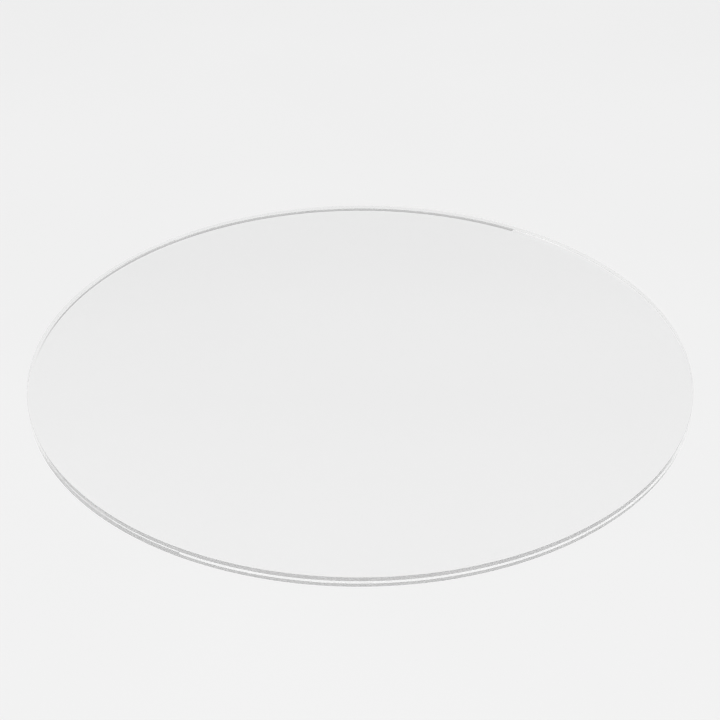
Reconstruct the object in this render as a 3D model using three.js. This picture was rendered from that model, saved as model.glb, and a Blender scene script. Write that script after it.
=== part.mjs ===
// A clear circle template: one round disc cut from flat acrylic sheet, with a square polished rim.
// The disc is laid on the work and its rim is traced, so it has no hole, handle or marking.
// Units are millimetres and +Z is up. The origin is the centre of the lower face, which rests
// on the work.

import * as THREE from 'three';

// Driving dimensions.
const DISC_DIAMETER = 203.2; // the 8 in circle that the rim draws
const SHEET_THICKNESS = 3.175; // 1/8 in sheet
const ARRIS_WIDTH = 0.12; // both corners of the rim are eased by this much so that they don't cut
const RIM_FACETS = 360; // one flat facet to each degree of the rim

// Finish of the clear sheet.
const SHEET_COLOUR = 0xeceeee;
const SHEET_ROUGHNESS = 0.04;
const SHEET_METALNESS = 0;
const SHEET_OPACITY = 0.35;

const RADIUS = DISC_DIAMETER / 2;

/** Half of the disc's cross-section, from the axis out along the lower face and back over the top. */
function discSection() {
  return [
    new THREE.Vector2(0, 0),
    new THREE.Vector2(RADIUS - ARRIS_WIDTH, 0),
    new THREE.Vector2(RADIUS, ARRIS_WIDTH),
    new THREE.Vector2(RADIUS, SHEET_THICKNESS - ARRIS_WIDTH),
    new THREE.Vector2(RADIUS - ARRIS_WIDTH, SHEET_THICKNESS),
    new THREE.Vector2(0, SHEET_THICKNESS),
  ];
}

/** Clear acrylic: glossy, not metallic, and see-through. */
function clearSheet() {
  return new THREE.MeshStandardMaterial({
    color: SHEET_COLOUR,
    roughness: SHEET_ROUGHNESS,
    metalness: SHEET_METALNESS,
    transparent: true,
    opacity: SHEET_OPACITY,
  });
}

/** The disc, turned from its section. A lathe turns about +Y, so the shape is stood up onto +Z. */
function makeDisc() {
  const geometry = new THREE.LatheGeometry(discSection(), RIM_FACETS);
  geometry.rotateX(Math.PI / 2);
  const disc = new THREE.Mesh(geometry, clearSheet());
  disc.name = 'template_disc';
  return disc;
}

const circleTemplate = new THREE.Group();
circleTemplate.name = 'circle_template';
circleTemplate.add(makeDisc());

export default circleTemplate;
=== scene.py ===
"""A clear round drawing template: one disc of cast acrylic sheet lying on a pale studio floor."""

import logging
import math
from dataclasses import dataclass, field
from enum import Enum

import bpy
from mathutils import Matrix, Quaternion, Vector


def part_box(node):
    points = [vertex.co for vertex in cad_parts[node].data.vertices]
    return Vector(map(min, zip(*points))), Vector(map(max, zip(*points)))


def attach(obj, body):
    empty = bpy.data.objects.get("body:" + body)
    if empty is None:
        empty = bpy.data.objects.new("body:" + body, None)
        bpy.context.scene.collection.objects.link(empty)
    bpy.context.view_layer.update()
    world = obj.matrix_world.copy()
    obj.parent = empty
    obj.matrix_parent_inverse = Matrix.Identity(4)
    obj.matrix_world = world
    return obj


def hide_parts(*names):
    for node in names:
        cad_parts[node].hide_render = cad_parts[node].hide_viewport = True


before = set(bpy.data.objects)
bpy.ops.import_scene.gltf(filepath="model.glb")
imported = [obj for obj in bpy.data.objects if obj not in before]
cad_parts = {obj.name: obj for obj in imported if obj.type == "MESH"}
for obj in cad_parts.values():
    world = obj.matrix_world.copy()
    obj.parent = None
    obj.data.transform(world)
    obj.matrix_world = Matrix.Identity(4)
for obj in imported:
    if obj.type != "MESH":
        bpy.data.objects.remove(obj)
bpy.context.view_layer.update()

LOG = logging.getLogger("circle_template")

MM = 0.001
CAD_NODE = "template_disc"
BODY = "root"

FLOAT = "NodeSocketFloat"
VECTOR = "NodeSocketVector"

# The Mix node's sockets share their names, so they are found by number.
MIX_SHARE = 0
MIX_NUMBERS = (2, 3)
MIX_NUMBER_OUT = 0
MIX_COLOURS = (6, 7)
MIX_COLOUR_OUT = 2

Socket = bpy.types.NodeSocket
Tree = bpy.types.NodeTree
Colour = tuple[float, float, float]
Triple = tuple[float, float, float]


class Sum(Enum):
    """The sums that the finishes use."""

    ADD = "ADD"
    SUBTRACT = "SUBTRACT"
    MULTIPLY = "MULTIPLY"
    DIVIDE = "DIVIDE"
    LARGER = "MAXIMUM"
    ABOVE = "GREATER_THAN"


# ---------------------------------------------------------------- node bench


class NodeBench:
    """Places and joins shader nodes in one node tree."""

    COLUMN_STEP = 190.0
    ROW_STEP = -140.0
    ROWS = 5

    def __init__(self, tree: Tree) -> None:
        """Keep the tree that the nodes go into.

        Args:
            tree: the node tree of a material, world or group.
        """
        self.tree = tree
        self.column = 0

    def add(self, kind: str, **settings: object) -> bpy.types.Node:
        """Add one node and set its plain properties.

        Args:
            kind: Blender's type name for the node.
            **settings: properties of the node, by name.

        Returns:
            The new node.
        """
        node = self.tree.nodes.new(kind)
        for name, value in settings.items():
            setattr(node, name, value)
        node.location = (self.column * self.COLUMN_STEP, (self.column % self.ROWS) * self.ROW_STEP)
        self.column += 1
        return node

    def feed(self, socket: Socket, value: object) -> None:
        """Link a socket to another one, or set it to a plain value.

        Args:
            socket: the input that takes the value.
            value: an output socket, a number, or a tuple of numbers.
        """
        if isinstance(value, bpy.types.NodeSocket):
            self.tree.links.new(value, socket)
        else:
            socket.default_value = value

    def sum(self, kind: Sum, first: object, second: object, hold: bool = False) -> Socket:
        """Join two values with one sum.

        Args:
            kind: which sum.
            first: the first value, a socket or a number.
            second: the second value, a socket or a number.
            hold: True keeps the answer between 0 and 1.

        Returns:
            The socket with the answer.
        """
        node = self.add("ShaderNodeMath", operation=kind.value, use_clamp=hold)
        self.feed(node.inputs[0], first)
        self.feed(node.inputs[1], second)
        return node.outputs[0]

    def unsigned(self, value: Socket) -> Socket:
        """Take the sign off a number.

        Args:
            value: the number.

        Returns:
            The socket with the unsigned number.
        """
        node = self.add("ShaderNodeMath", operation="ABSOLUTE")
        self.feed(node.inputs[0], value)
        return node.outputs[0]

    def ramp(self, value: object, low: object, high: object, at_low: float, at_high: float) -> Socket:
        """Map a value smoothly from one range to another.

        Args:
            value: the value to map.
            low: where the change begins.
            high: where the change ends.
            at_low: the answer at and below low.
            at_high: the answer at and above high.

        Returns:
            The socket with the mapped value.
        """
        node = self.add("ShaderNodeMapRange", interpolation_type="SMOOTHSTEP", clamp=True)
        for name, given in (
            ("Value", value),
            ("From Min", low),
            ("From Max", high),
            ("To Min", at_low),
            ("To Max", at_high),
        ):
            self.feed(node.inputs[name], given)
        return node.outputs["Result"]

    def blend(self, share: object, first: object, second: object) -> Socket:
        """Blend two numbers.

        Args:
            share: 0 gives the first number and 1 the second.
            first: the first number.
            second: the second number.

        Returns:
            The socket with the blended number.
        """
        node = self.add("ShaderNodeMix", data_type="FLOAT")
        self.feed(node.inputs[MIX_SHARE], share)
        for spot, given in zip(MIX_NUMBERS, (first, second)):
            self.feed(node.inputs[spot], given)
        return node.outputs[MIX_NUMBER_OUT]

    def tint(self, share: object, first: object, second: object) -> Socket:
        """Blend two colours.

        Args:
            share: 0 gives the first colour and 1 the second.
            first: the first colour, a socket or three numbers.
            second: the second colour, a socket or three numbers.

        Returns:
            The socket with the blended colour.
        """
        node = self.add("ShaderNodeMix", data_type="RGBA")
        self.feed(node.inputs[MIX_SHARE], share)
        for spot, given in zip(MIX_COLOURS, (first, second)):
            self.feed(node.inputs[spot], (*given, 1.0) if isinstance(given, tuple) else given)
        return node.outputs[MIX_COLOUR_OUT]

    def place(self, group: bpy.types.NodeTree, **inputs: object) -> bpy.types.Node:
        """Place a shared group and give it its own values.

        Args:
            group: the node group.
            **inputs: the group's inputs, by name, with spaces as underscores.

        Returns:
            The group's node.
        """
        node = self.add("ShaderNodeGroup", node_tree=group)
        for name, value in inputs.items():
            self.feed(node.inputs[name.replace("_", " ")], value)
        return node


def new_group(
    name: str, takes: dict[str, str], gives: dict[str, str]
) -> tuple[Tree, NodeBench, dict[str, Socket], dict[str, Socket]]:
    """Begin a node group with named sockets.

    Args:
        name: the group's name.
        takes: each input's name and socket type.
        gives: each output's name and socket type.

    Returns:
        The group, its bench, its inputs by name, and the output node's sockets by name.
    """
    tree = bpy.data.node_groups.new(name, "ShaderNodeTree")
    for label, kind in takes.items():
        tree.interface.new_socket(name=label, in_out="INPUT", socket_type=kind)
    for label, kind in gives.items():
        tree.interface.new_socket(name=label, in_out="OUTPUT", socket_type=kind)
    bench = NodeBench(tree)
    source = bench.add("NodeGroupInput")
    sink = bench.add("NodeGroupOutput")
    given = {label: source.outputs[label] for label in takes}
    wanted = {label: sink.inputs[label] for label in gives}
    return tree, bench, given, wanted


@dataclass(frozen=True)
class FaintMottle:
    """Soft cloudy unevenness: the breath of haze on a sheet and the tooth of the floor paper."""

    name: str = "faint_mottle"
    detail: float = 4.0
    clear_below: float = 0.3
    full_above: float = 0.7

    def group(self) -> Tree:
        """Build the group, or fetch it if it is there already.

        Returns:
            The node group, which takes Point and Scale and gives Mottle, a mask.
        """
        if self.name in bpy.data.node_groups:
            return bpy.data.node_groups[self.name]
        tree, bench, given, wanted = new_group(
            self.name, {"Point": VECTOR, "Scale": FLOAT}, {"Mottle": FLOAT}
        )
        cloud = bench.add("ShaderNodeTexNoise", noise_dimensions="3D")
        bench.feed(cloud.inputs["Vector"], given["Point"])
        bench.feed(cloud.inputs["Scale"], given["Scale"])
        bench.feed(cloud.inputs["Detail"], self.detail)
        mottle = bench.ramp(cloud.outputs["Fac"], self.clear_below, self.full_above, 0.0, 1.0)
        bench.feed(wanted["Mottle"], mottle)
        return tree


@dataclass(frozen=True)
class DrawnGrain:
    """Fine lines drawn out one way: rubbing marks on a side, or a cutter's strokes across an edge."""

    name: str = "drawn_grain"
    detail: float = 2.0
    wander: float = 0.35

    def group(self) -> Tree:
        """Build the group, or fetch it if it is there already.

        Returns:
            The node group, which takes Point, Turn, Pitch, Sparse and Full and gives Lines, a mask.
        """
        if self.name in bpy.data.node_groups:
            return bpy.data.node_groups[self.name]
        tree, bench, given, wanted = new_group(
            self.name,
            {"Point": VECTOR, "Turn": VECTOR, "Pitch": VECTOR, "Sparse": FLOAT, "Full": FLOAT},
            {"Lines": FLOAT},
        )
        turned = bench.add("ShaderNodeMapping", vector_type="TEXTURE")
        bench.feed(turned.inputs["Vector"], given["Point"])
        bench.feed(turned.inputs["Rotation"], given["Turn"])
        drawn = bench.add("ShaderNodeVectorMath", operation="DIVIDE")
        bench.feed(drawn.inputs[0], turned.outputs[0])
        bench.feed(drawn.inputs[1], given["Pitch"])
        grain = bench.add("ShaderNodeTexNoise", noise_dimensions="3D")
        bench.feed(grain.inputs["Vector"], drawn.outputs[0])
        bench.feed(grain.inputs["Scale"], 1.0)
        bench.feed(grain.inputs["Detail"], self.detail)
        bench.feed(grain.inputs["Distortion"], self.wander)
        lines = bench.ramp(grain.outputs["Fac"], given["Sparse"], given["Full"], 0.0, 1.0)
        bench.feed(wanted["Lines"], lines)
        return tree


@dataclass(frozen=True)
class HeightBand:
    """A band between two heights, with soft borders."""

    name: str = "height_band"

    def group(self) -> Tree:
        """Build the group, or fetch it if it is there already.

        Returns:
            The node group, which takes Height, Low, High and Softness and gives Band, a mask.
        """
        if self.name in bpy.data.node_groups:
            return bpy.data.node_groups[self.name]
        tree, bench, given, wanted = new_group(
            self.name,
            {"Height": FLOAT, "Low": FLOAT, "High": FLOAT, "Softness": FLOAT},
            {"Band": FLOAT},
        )
        rise = self.border(bench, given["Height"], given["Low"], given["Softness"])
        fall = self.border(bench, given["Height"], given["High"], given["Softness"])
        bench.feed(wanted["Band"], bench.sum(Sum.SUBTRACT, rise, fall, hold=True))
        return tree

    def border(self, bench: NodeBench, height: Socket, at: Socket, softness: Socket) -> Socket:
        """Make one soft border.

        Args:
            bench: where the nodes go.
            height: the height to test.
            at: the border's middle.
            softness: half of the border's width.

        Returns:
            A mask that is 1 above the border.
        """
        below = bench.sum(Sum.SUBTRACT, at, softness)
        above = bench.sum(Sum.ADD, at, softness)
        return bench.ramp(height, below, above, 0.0, 1.0)


# ---------------------------------------------------------------- finishes


@dataclass(frozen=True)
class ClearAcrylic:
    """Cast acrylic: polished sides, and an edge with a polished middle between two satin bands of painted
    shade.

    The edge looks as if it was worked in two passes, though how it was really worked isn't known; the halves
    differ in where the satin bands and their painted shade lie. The two meet on a witness line across the
    disc, with a thin satin seam of painted shade where that line crosses the edge. The second half has a
    wider lower band and a margin underneath painted dark as a shadow. The bands' heights and the margin's
    widths are shares of the sheet's thickness, and the witness line's offset is a share of the radius.
    Values in MM are metres.
    """

    radius: float
    thickness: float
    name: str = "clear_acrylic"
    ior: float = 1.49
    side_colour: Colour = (0.965, 0.965, 0.965)
    polish_colour: Colour = (1.0, 1.0, 1.0)
    # Painted shade: the satin bands are dark grey so the edge shows dark lines.
    satin_shade_colour: Colour = (0.378, 0.378, 0.378)
    side_roughness: float = 0.0
    satin_roughness: float = 0.08
    facing_blend: float = 0.5
    past_bottom: float = -1.0
    past_top: float = 2.0
    upper_low: float = 0.60
    upper_low_worked: float = 0.615
    lower_high: float = 0.35
    lower_high_worked: float = 0.50
    band_softness: float = 0.01
    thin_from: float = 0.60
    thin_to: float = 1.25
    witness_turn: float = math.radians(59.8)
    witness_offset: float = -0.0225
    seam_core: float = 0.11 * MM
    seam_edge: float = 0.17 * MM
    margin_narrow: float = 0.30
    margin_wide: float = 0.41
    mirrored_width: float = 0.10
    margin_gap: float = 0.16
    margin_gap_from: float = 0.30
    margin_gap_to: float = 0.85
    margin_fade: float = 0.35
    graze_from: float = 0.67
    graze_to: float = 0.86
    worked_hold: float = 0.05
    # Painted shadow: the margin under the edge is dark grey, as a shadow ring would be.
    margin_shade_colour: Colour = (0.36, 0.36, 0.36)
    haze_size: float = 18.0 * MM
    haze_roughness: float = 0.012
    rub_pitch: Triple = (25.0 * MM, 0.4 * MM, 25.0 * MM)
    rub_turns: tuple[float, ...] = (math.radians(17.0), math.radians(-71.0))
    rub_sparse: float = 0.62
    rub_full: float = 0.72
    rub_roughness: float = 0.06
    stroke_pitch: Triple = (0.5 * MM, 0.5 * MM, 9.0 * MM)
    stroke_sparse: float = 0.35
    stroke_full: float = 0.65
    # Painted shade, a little darker along the cutter's strokes.
    stroke_shade_colour: Colour = (0.365, 0.365, 0.365)
    stroke_roughness: float = 0.10
    rim_inset: float = 0.03 * MM
    rim_full: float = 0.02 * MM
    under_height: float = 0.03

    def material(self) -> bpy.types.Material:
        """Build the finish.

        Returns:
            The material.
        """
        made = bpy.data.materials.new(self.name)
        made.use_nodes = True
        made.node_tree.nodes.clear()
        bench = NodeBench(made.node_tree)
        sheet = bench.add("ShaderNodeBsdfPrincipled")
        sheet.inputs["Metallic"].default_value = 0.0
        sheet.inputs["Transmission Weight"].default_value = 1.0
        sheet.inputs["IOR"].default_value = self.ior

        point = bench.add("ShaderNodeTexCoord").outputs["Object"]
        split = bench.add("ShaderNodeSeparateXYZ")
        bench.feed(split.inputs[0], point)
        reach = self.reach(bench, split)
        height = bench.sum(Sum.DIVIDE, split.outputs["Z"], self.thickness)
        past = self.past_witness(bench, point)
        worked = bench.sum(Sum.ABOVE, past, 0.0)
        seam = bench.ramp(bench.unsigned(past), self.seam_core, self.seam_edge, 1.0, 0.0)
        rim = bench.ramp(reach, self.radius - self.rim_inset, self.radius - self.rim_full, 0.0, 1.0)

        upper_border = bench.blend(worked, self.upper_low, self.upper_low_worked)
        upper = self.band(bench, height, upper_border, self.past_top)
        lower_border = self.lower_border(bench, split, reach, worked)
        lower = self.band(bench, height, self.past_bottom, lower_border)
        cut_and_shade = bench.sum(Sum.LARGER, bench.sum(Sum.LARGER, upper, lower), seam)
        cut_and_shade = bench.sum(Sum.MULTIPLY, cut_and_shade, rim)
        # The edge's painted shade shows only where the edge is seen from outside.
        inside = bench.add("ShaderNodeNewGeometry").outputs["Backfacing"]
        satin_and_shade = bench.sum(Sum.MULTIPLY, cut_and_shade, bench.sum(Sum.SUBTRACT, 1.0, inside))
        slant = bench.add("ShaderNodeLayerWeight")
        slant.inputs["Blend"].default_value = self.facing_blend
        hold = bench.sum(Sum.MULTIPLY, bench.sum(Sum.MULTIPLY, lower, worked), self.worked_hold)
        facing = bench.sum(Sum.SUBTRACT, slant.outputs["Facing"], hold)
        # Chosen for its look: the satin bands' painted shade fades out where the edge is seen at a grazing
        # angle.
        # Satin on a real edge wouldn't clear completely there.
        sheen = bench.ramp(facing, self.graze_from, self.graze_to, 1.0, 0.0)
        satin_and_shade = bench.sum(Sum.MULTIPLY, satin_and_shade, sheen)
        margin = self.margin(bench, split, reach, height, worked)
        strokes = self.strokes(bench, point)

        # The margin's grey and the satin bands' grey are painted shade.
        colour = bench.tint(rim, self.side_colour, self.polish_colour)
        colour = bench.tint(margin, colour, self.margin_shade_colour)
        ground = bench.tint(strokes, self.satin_shade_colour, self.stroke_shade_colour)
        bench.feed(sheet.inputs["Base Color"], bench.tint(satin_and_shade, colour, ground))
        worn = bench.blend(rim, self.side_wear(bench, point), self.side_roughness)
        ground = bench.blend(strokes, self.satin_roughness, self.stroke_roughness)
        bench.feed(sheet.inputs["Roughness"], bench.blend(satin_and_shade, worn, ground))

        out = bench.add("ShaderNodeOutputMaterial")
        bench.feed(out.inputs["Surface"], sheet.outputs[0])
        return made

    def strokes(self, bench: NodeBench, point: Socket) -> Socket:
        """Make the cutter's fine strokes, which run across the edge.

        Args:
            bench: where the nodes go.
            point: the point on the disc.

        Returns:
            The strokes' mask.
        """
        node = bench.place(
            DrawnGrain().group(),
            Point=point,
            Turn=(0.0, 0.0, 0.0),
            Pitch=self.stroke_pitch,
            Sparse=self.stroke_sparse,
            Full=self.stroke_full,
        )
        return node.outputs["Lines"]

    def side_wear(self, bench: NodeBench, point: Socket) -> Socket:
        """Make the faint haze and rubbing marks of the two sides.

        Args:
            bench: where the nodes go.
            point: the point on the disc.

        Returns:
            The sides' roughness.
        """
        haze = bench.place(FaintMottle().group(), Point=point, Scale=1.0 / self.haze_size)
        wear = bench.sum(Sum.MULTIPLY, haze.outputs["Mottle"], self.haze_roughness)
        for turn in self.rub_turns:
            rubs = bench.place(
                DrawnGrain().group(),
                Point=point,
                Turn=(0.0, 0.0, turn),
                Pitch=self.rub_pitch,
                Sparse=self.rub_sparse,
                Full=self.rub_full,
            )
            marks = bench.sum(Sum.MULTIPLY, rubs.outputs["Lines"], self.rub_roughness)
            wear = bench.sum(Sum.LARGER, wear, marks)
        return bench.sum(Sum.ADD, wear, self.side_roughness)

    def reach(self, bench: NodeBench, split: bpy.types.Node) -> Socket:
        """Give the distance from the disc's axis.

        Args:
            bench: where the nodes go.
            split: the point's separate coordinates.

        Returns:
            The distance, in metres.
        """
        flat = bench.add("ShaderNodeCombineXYZ")
        bench.feed(flat.inputs["X"], split.outputs["X"])
        bench.feed(flat.inputs["Y"], split.outputs["Y"])
        length = bench.add("ShaderNodeVectorMath", operation="LENGTH")
        bench.feed(length.inputs[0], flat.outputs[0])
        return length.outputs["Value"]

    def past_witness(self, bench: NodeBench, point: Socket) -> Socket:
        """Measure how far a point lies past the line on which the two passes along the edge meet.

        Args:
            bench: where the nodes go.
            point: the point on the disc.

        Returns:
            The distance in metres, which is above 0 on the half that was worked in the second pass.
        """
        across = bench.add("ShaderNodeVectorMath", operation="DOT_PRODUCT")
        bench.feed(across.inputs[0], point)
        bench.feed(across.inputs[1], (-math.sin(self.witness_turn), math.cos(self.witness_turn), 0.0))
        return bench.sum(Sum.SUBTRACT, across.outputs["Value"], self.witness_offset * self.radius)

    def lower_border(self, bench: NodeBench, split: bpy.types.Node, reach: Socket, worked: Socket) -> Socket:
        """Give the top of the lower satin band.

        Args:
            bench: where the nodes go.
            split: the point's separate coordinates.
            reach: the distance from the axis.
            worked: the mask of the second half.

        Returns:
            The height, as a share of the thickness.
        """
        side = bench.sum(Sum.DIVIDE, split.outputs["X"], reach)
        thinning = bench.ramp(side, self.thin_from, self.thin_to, self.lower_high, 0.0)
        return bench.blend(worked, thinning, self.lower_high_worked)

    def band(self, bench: NodeBench, height: Socket, low: object, high: object) -> Socket:
        """Place one band of the edge.

        Args:
            bench: where the nodes go.
            height: the height, as a share of the thickness.
            low: the band's lower border.
            high: the band's upper border.

        Returns:
            The band's mask.
        """
        node = bench.place(
            HeightBand().group(), Height=height, Low=low, High=high, Softness=self.band_softness
        )
        return node.outputs["Band"]

    def margin(
        self, bench: NodeBench, split: bpy.types.Node, reach: Socket, height: Socket, worked: Socket
    ) -> Socket:
        """Make the margin on the underside, next to the edge, painted dark as a shadow.

        Args:
            bench: where the nodes go.
            split: the point's separate coordinates.
            reach: the distance from the axis.
            height: the height, as a share of the thickness.
            worked: the mask of the second half.

        Returns:
            The margin's mask.
        """
        along = bench.sum(Sum.DIVIDE, split.outputs["Y"], reach, hold=True)
        spread = bench.sum(Sum.MULTIPLY, along, self.margin_wide - self.margin_narrow)
        spread = bench.sum(Sum.ADD, spread, self.margin_narrow)
        # Chosen for its look: a real margin's mirror image would be as wide as the margin.
        mirrored = bench.add("ShaderNodeLightPath").outputs["Is Reflection Ray"]
        spread = bench.blend(mirrored, spread, self.mirrored_width)
        gap = bench.ramp(along, self.margin_gap_from, self.margin_gap_to, self.margin_gap, 0.0)
        depth = bench.sum(Sum.DIVIDE, bench.sum(Sum.SUBTRACT, self.radius, reach), self.thickness)
        inside = bench.sum(Sum.ABOVE, spread, depth)
        past_gap = bench.sum(Sum.ABOVE, depth, gap)
        under = bench.sum(Sum.SUBTRACT, 1.0, bench.sum(Sum.ABOVE, height, self.under_height))
        strength = bench.ramp(along, 0.0, self.margin_fade, 0.0, 1.0)
        mask = bench.sum(Sum.MULTIPLY, bench.sum(Sum.MULTIPLY, inside, past_gap), under)
        return bench.sum(Sum.MULTIPLY, bench.sum(Sum.MULTIPLY, mask, worked), strength)


@dataclass(frozen=True)
class FloorPaper:
    """Matt pale studio paper."""

    name: str = "floor_paper"
    shade: float = 0.80
    unevenness: float = 0.004
    cloud_scale: float = 9.0
    roughness: float = 0.95

    def material(self) -> bpy.types.Material:
        """Build the finish.

        Returns:
            The material.
        """
        made = bpy.data.materials.new(self.name)
        made.use_nodes = True
        made.node_tree.nodes.clear()
        bench = NodeBench(made.node_tree)
        paper = bench.add("ShaderNodeBsdfPrincipled")
        paper.inputs["Specular IOR Level"].default_value = 0.0
        paper.inputs["Roughness"].default_value = self.roughness
        point = bench.add("ShaderNodeTexCoord").outputs["Object"]
        cloud = bench.place(FaintMottle().group(), Point=point, Scale=self.cloud_scale)
        light = self.shade + self.unevenness
        dark = self.shade - self.unevenness
        shade = bench.tint(cloud.outputs["Mottle"], (light,) * 3, (dark,) * 3)
        bench.feed(paper.inputs["Base Color"], shade)
        out = bench.add("ShaderNodeOutputMaterial")
        bench.feed(out.inputs["Surface"], paper.outputs[0])
        return made


# ---------------------------------------------------------------- the disc


@dataclass
class ClearDisc:
    """The template itself: a solid round sheet with square edges and the sharpness taken off."""

    low: Vector
    high: Vector
    name: str = "clear_disc"
    facets: int = 720
    arris: float = 0.06 * MM
    arris_steps: int = 4
    guard: float = 0.10 * MM
    side_rings: tuple[float, ...] = (0.12, 0.3, 0.5, 0.7, 0.88)
    wall_levels: tuple[float, ...] = (0.2, 0.35, 0.5, 0.615, 0.8)
    sharp_bend: float = math.radians(10.0)
    radius: float = field(init=False)
    thickness: float = field(init=False)

    def __post_init__(self) -> None:
        """Take the radius and thickness from the two corners."""
        self.radius = (self.high.x - self.low.x) / 2.0
        self.thickness = self.high.z - self.low.z

    def section(self) -> list[tuple[float, float]]:
        """Draw half of the disc's section, from the underside's middle round to the top's.

        Returns:
            Pairs of distance from the axis and height, without the two middle points.
        """
        base = self.low.z
        top = self.high.z
        inner = self.radius - self.arris - self.guard
        flat = [(share * self.radius, base) for share in self.side_rings]
        flat.append((inner, base))
        steps = range(self.arris_steps + 1)
        turns = [math.pi / 2.0 * step / self.arris_steps for step in steps]
        bend = [
            (
                self.radius - self.arris + self.arris * math.sin(turn),
                base + self.arris - self.arris * math.cos(turn),
            )
            for turn in turns
        ]
        half = [*flat, *bend, (self.radius, base + self.arris + self.guard)]
        wall = [(self.radius, base + share * self.thickness) for share in self.wall_levels]
        mirrored = [(reach, base + top - height) for reach, height in reversed(half)]
        return [*half, *wall, *mirrored]

    def mesh(self) -> bpy.types.Mesh:
        """Turn the section about the axis into a closed skin.

        Returns:
            The mesh, with every face pointing out.
        """
        rings = self.section()
        count = len(rings)
        points = [(0.0, 0.0, self.low.z), (0.0, 0.0, self.high.z)]
        under_middle, top_middle = range(len(points))
        first = len(points)
        for facet in range(self.facets):
            turn = 2.0 * math.pi * facet / self.facets
            points += [(reach * math.cos(turn), reach * math.sin(turn), height) for reach, height in rings]
        faces = []
        for facet in range(self.facets):
            here = first + facet * count
            there = first + (facet + 1) % self.facets * count
            faces.append((under_middle, there, here))
            faces += [
                (here + ring, there + ring, there + ring + 1, here + ring + 1) for ring in range(count - 1)
            ]
            faces.append((top_middle, here + count - 1, there + count - 1))
        made = bpy.data.meshes.new(self.name)
        made.from_pydata(points, [], faces)
        made.update()
        made.shade_smooth()
        made.set_sharp_from_angle(angle=self.sharp_bend)
        return made

    def build(self) -> bpy.types.Object:
        """Make the disc, dress it and set it in the frame.

        Returns:
            The disc's object.
        """
        piece = bpy.data.objects.new(self.name, self.mesh())
        bpy.context.scene.collection.objects.link(piece)
        piece.data.materials.append(ClearAcrylic(self.radius, self.thickness).material())
        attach(piece, BODY)
        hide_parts(CAD_NODE)
        # Chosen for its look: the floor's light passes the disc by, so it throws no shadow. A real one would.
        piece.visible_diffuse = False
        piece.visible_shadow = False
        return piece


# ---------------------------------------------------------------- the studio


@dataclass
class StudioFloor:
    """A wide sheet of paper, just under the disc."""

    name: str = "studio_floor"
    half_width: float = 12.0
    drop: float = 0.01 * MM

    def build(self) -> bpy.types.Object:
        """Make the floor and lay it just under the disc.

        Returns:
            The floor's object.
        """
        half = self.half_width
        corners = [(-half, -half, 0.0), (half, -half, 0.0), (half, half, 0.0), (-half, half, 0.0)]
        made = bpy.data.meshes.new(self.name)
        made.from_pydata(corners, [], [(0, 1, 2, 3)])
        piece = bpy.data.objects.new(self.name, made)
        piece.location.z = -self.drop
        bpy.context.scene.collection.objects.link(piece)
        piece.data.materials.append(FloorPaper().material())
        return piece


@dataclass
class StudioSky:
    """Soft light from all round, in steps of elevation in degrees and glow.

    A darker belt a third of the way up is what the disc's sides mirror. The light is stronger from straight
    above, and the two flanks, left and right, glow evenly.
    """

    name: str = "studio_sky"
    stops: tuple[tuple[float, float], ...] = (
        (0.0, 0.885),
        (26.0, 0.885),
        (28.5, 0.67),
        (30.5, 0.68),
        (32.0, 0.77),
        (34.5, 0.79),
        (36.0, 0.86),
        (38.0, 0.89),
        (45.0, 0.89),
        (70.0, 1.215),
        (90.0, 1.215),
    )
    lift: float = 4.0
    flank_glow: float = 1.0
    flank_from: float = 0.75
    flank_to: float = 0.81

    def build(self) -> bpy.types.World:
        """Make the sky and hang it in the scene.

        Returns:
            The world.
        """
        made = bpy.data.worlds.new(self.name)
        made.use_nodes = True
        made.node_tree.nodes.clear()
        bench = NodeBench(made.node_tree)
        split = bench.add("ShaderNodeSeparateXYZ")
        bench.feed(split.inputs[0], bench.add("ShaderNodeTexCoord").outputs["Generated"])
        scale = bench.add("ShaderNodeValToRGB")
        bench.feed(scale.inputs[0], split.outputs["Z"])
        marks = scale.color_ramp.elements
        marks.remove(marks[-1])
        for count, (rise, glow) in enumerate(self.stops):
            where = math.sin(math.radians(rise))
            mark = marks[0] if count == 0 else marks.new(where)
            mark.position = where
            mark.color = (glow / self.lift, glow / self.lift, glow / self.lift, 1.0)
        aside = bench.unsigned(split.outputs["X"])
        flank = bench.ramp(aside, self.flank_from, self.flank_to, 0.0, 1.0)
        glow = bench.tint(flank, scale.outputs["Color"], (self.flank_glow / self.lift,) * 3)
        light = bench.add("ShaderNodeBackground")
        bench.feed(light.inputs["Color"], glow)
        bench.feed(light.inputs["Strength"], self.lift)
        out = bench.add("ShaderNodeOutputWorld")
        bench.feed(out.inputs["Surface"], light.outputs[0])
        bpy.context.scene.world = made
        return made


@dataclass
class FrontLamp:
    """A large soft lamp above the front of the floor."""

    name: str = "front_lamp"
    side: float = 1.2
    power: float = 6.0
    place: Triple = (0.0, -1.2, 1.6)

    def build(self) -> bpy.types.Object:
        """Make the lamp and turn it to the disc.

        Returns:
            The lamp's object.
        """
        data = bpy.data.lights.new(self.name, "AREA")
        data.shape = "SQUARE"
        data.size = self.side
        data.energy = self.power
        piece = bpy.data.objects.new(self.name, data)
        piece.location = self.place
        piece.rotation_euler = (-Vector(self.place)).to_track_quat("-Z", "Y").to_euler()
        bpy.context.scene.collection.objects.link(piece)
        return piece


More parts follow.
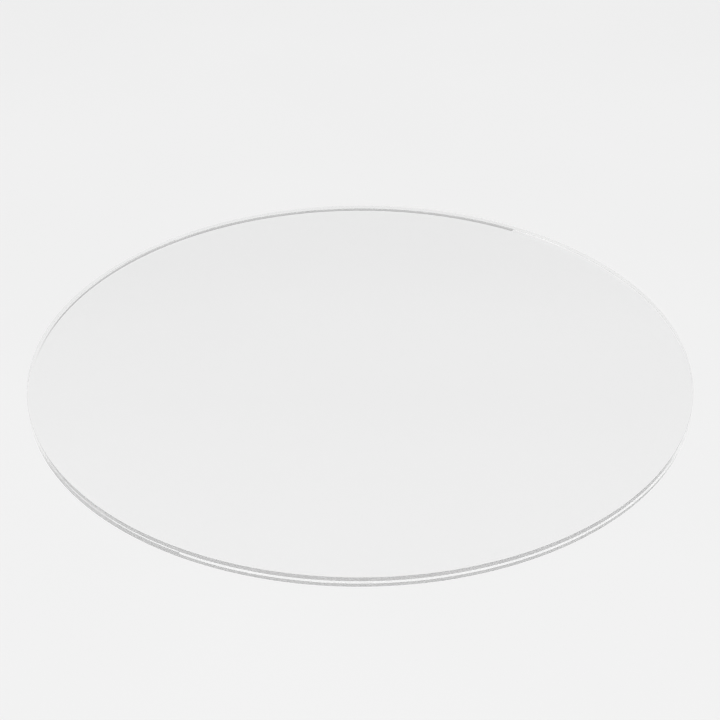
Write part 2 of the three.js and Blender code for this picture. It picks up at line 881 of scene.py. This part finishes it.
@dataclass
class StudioCamera:
    """A long lens, looking down at the disc from the front."""

    radius: float
    name: str = "studio_camera"
    radii_away: float = 6.0
    rise: float = math.radians(33.79)
    dip: float = math.radians(33.376)
    roll: float = math.radians(-0.13)
    lens: float = 98.69
    sensor: float = 36.0
    nearest: float = 0.01

    def build(self) -> bpy.types.Object:
        """Make the camera and hand it to the scene.

        Returns:
            The camera's object.
        """
        data = bpy.data.cameras.new(self.name)
        data.sensor_width = self.sensor
        data.lens = self.lens
        data.clip_start = self.nearest
        piece = bpy.data.objects.new(self.name, data)
        away = self.radii_away * self.radius
        piece.location = (0.0, -away * math.cos(self.rise), away * math.sin(self.rise))
        tilt = Quaternion((1.0, 0.0, 0.0), math.pi / 2.0 - self.dip)
        piece.rotation_mode = "QUATERNION"
        piece.rotation_quaternion = tilt @ Quaternion((0.0, 0.0, 1.0), self.roll)
        bpy.context.scene.collection.objects.link(piece)
        bpy.context.scene.camera = piece
        return piece


@dataclass
class LightPaths:
    """How far light is followed inside the sheet, how soft outlines are, and how tones are shown."""

    crossings: int = 400
    floor_bounces: int = 4
    edge_width: float = 1.2

    def build(self) -> None:
        """Set the path lengths, the outlines' softness and the plain tone curve."""
        scene = bpy.context.scene
        scene.cycles.max_bounces = self.crossings
        scene.cycles.transmission_bounces = self.crossings
        scene.cycles.glossy_bounces = self.crossings
        scene.cycles.diffuse_bounces = self.floor_bounces
        scene.cycles.caustics_reflective = True
        scene.cycles.caustics_refractive = True
        scene.cycles.use_denoising = True
        scene.cycles.blur_glossy = 0.0
        scene.cycles.filter_width = self.edge_width
        scene.view_settings.view_transform = "Standard"


def main() -> None:
    """Build the disc and its studio, and report each piece."""
    logging.basicConfig(level=logging.INFO, format="%(name)s: %(message)s")
    low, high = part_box(CAD_NODE)
    disc = ClearDisc(low, high)
    piece = disc.build()
    LOG.info("piece %s: radius %.5f m, thickness %.6f m", piece.name, disc.radius, disc.thickness)
    for stage in (StudioFloor(), StudioSky(), FrontLamp(), StudioCamera(disc.radius)):
        LOG.info("stage %s", stage.build().name)
    LightPaths().build()


if __name__ == "__main__":
    main()
